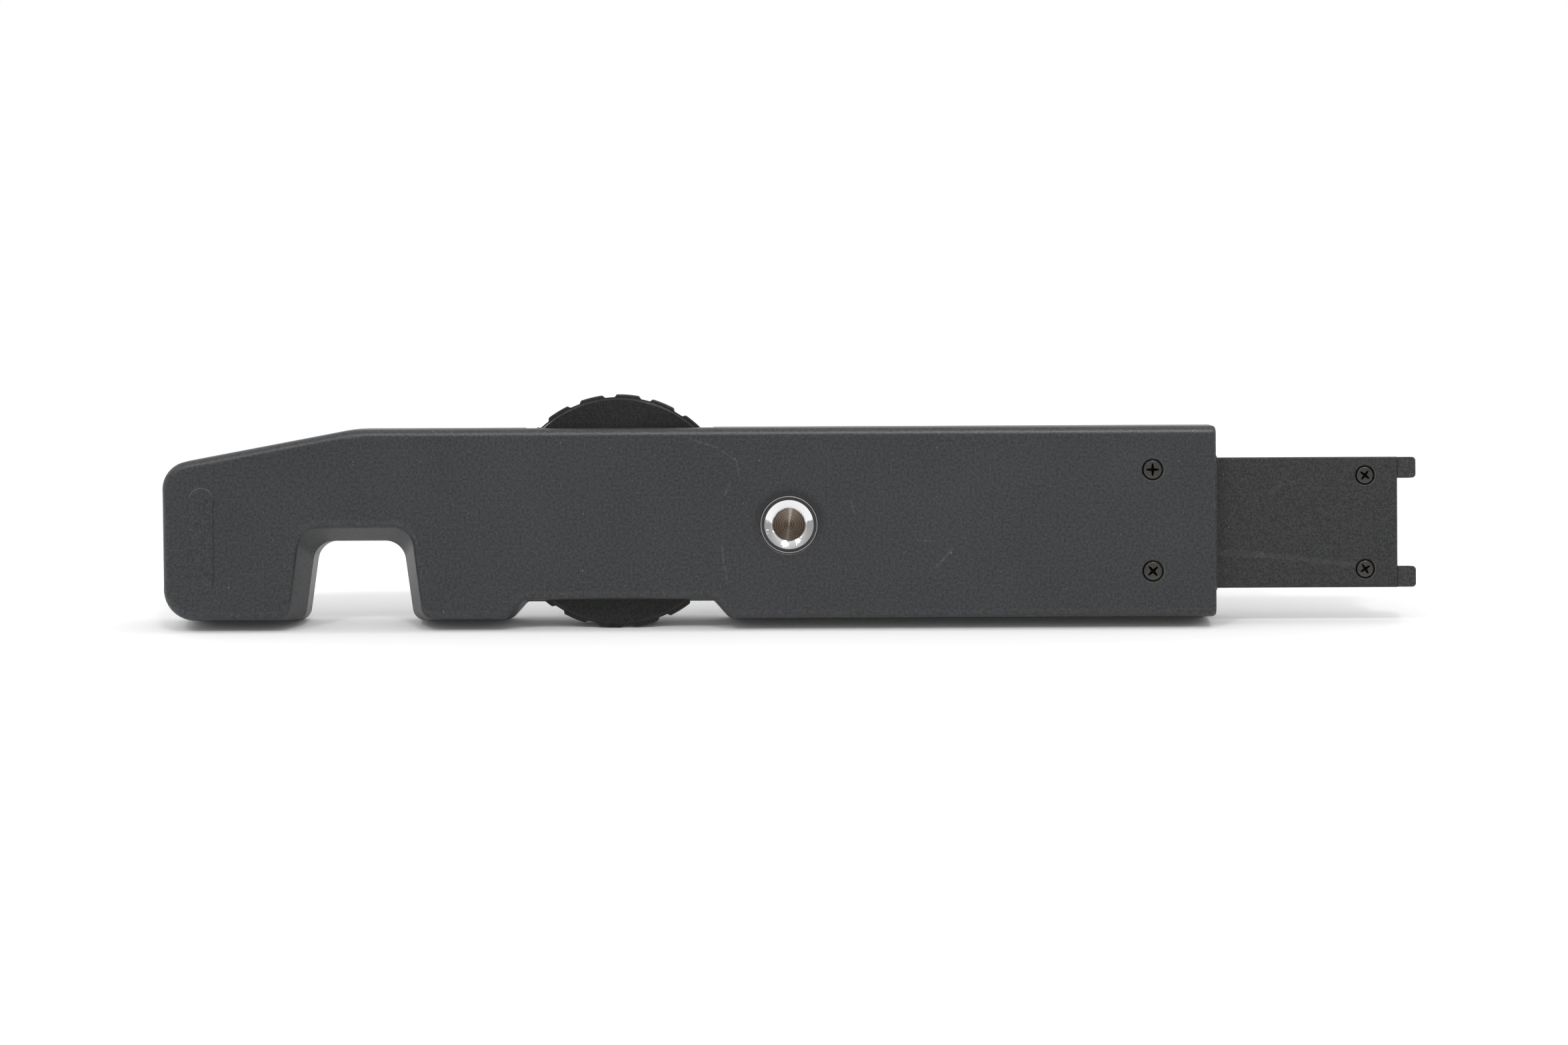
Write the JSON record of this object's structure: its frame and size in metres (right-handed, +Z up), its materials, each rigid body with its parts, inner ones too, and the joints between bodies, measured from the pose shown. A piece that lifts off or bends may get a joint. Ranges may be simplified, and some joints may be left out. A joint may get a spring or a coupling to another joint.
{
  "type": "camera slider bracket",
  "caption": "Flat camera bracket with a tripod socket, a thumbwheel that turns the camera screw, and a forked bar that slides out of one end.",
  "frame": {"origin": "mouth of the tripod socket, on its axis, in the plane of the tripod face", "axes": "+X along the bracket towards its pull-out end, +Y through the body from the tripod face to the camera face, +Z up as it stands on its long edge, leaning back a little on the thumbwheel and the edge behind it"},
  "size_m": [0.201, 0.0196, 0.0377],
  "materials": {
    "body_shell": "fine spark texture, dark grey-black",
    "wheel_plastic": "smooth satin, black",
    "bar_metal": "black anodised, fine blasted grain",
    "fork_plastic": "fine texture, black",
    "chrome_brass": "plated rim, bare turned brass at the bottom of the hole",
    "black_screw": "black oxide, oiled",
    "bright_steel": "turned, zinc plated",
    "frame_steel": "pressed sheet, zinc plated",
    "bare_aluminium": "mill finish",
    "brass": "turned",
    "pad_rubber": "ribbed, matte",
    "nylon": "natural"
  },
  "bodies": {
    "housing": {"base_cover": "body_shell", "platform_shell": "body_shell", "frame_plate": "frame_steel", "camera_pad": "pad_rubber", "screw_bush": "brass", "wheel_washer": "nylon", "tripod_bushing": "chrome_brass", "guide_sleeve": "bare_aluminium", "drag_ball": "bright_steel", "drag_spring": "bright_steel", "body_screws": "black_screw", "sleeve_screws": "black_screw", "housing_screws": "black_screw", "frame_screws": "black_screw"},
    "wheel": {"thumbwheel": "wheel_plastic", "camera_screw": "bright_steel"},
    "bar": {"slide_bar": "bar_metal", "fork_end": "fork_plastic", "stop_pin": "bright_steel", "bar_screws": "black_screw"}
  },
  "joints": [
    {"name": "wheel_spin", "type": "hinge", "parent": "housing", "child": "wheel", "pos_m": [-0.0273, 0, 0.00233], "axis": [0, 1, 0], "continuous": true},
    {"name": "bar_slide", "type": "slide", "parent": "housing", "child": "bar", "axis": [1, 0, 0], "range_m": [-0.0284, 0.014]}
  ]
}
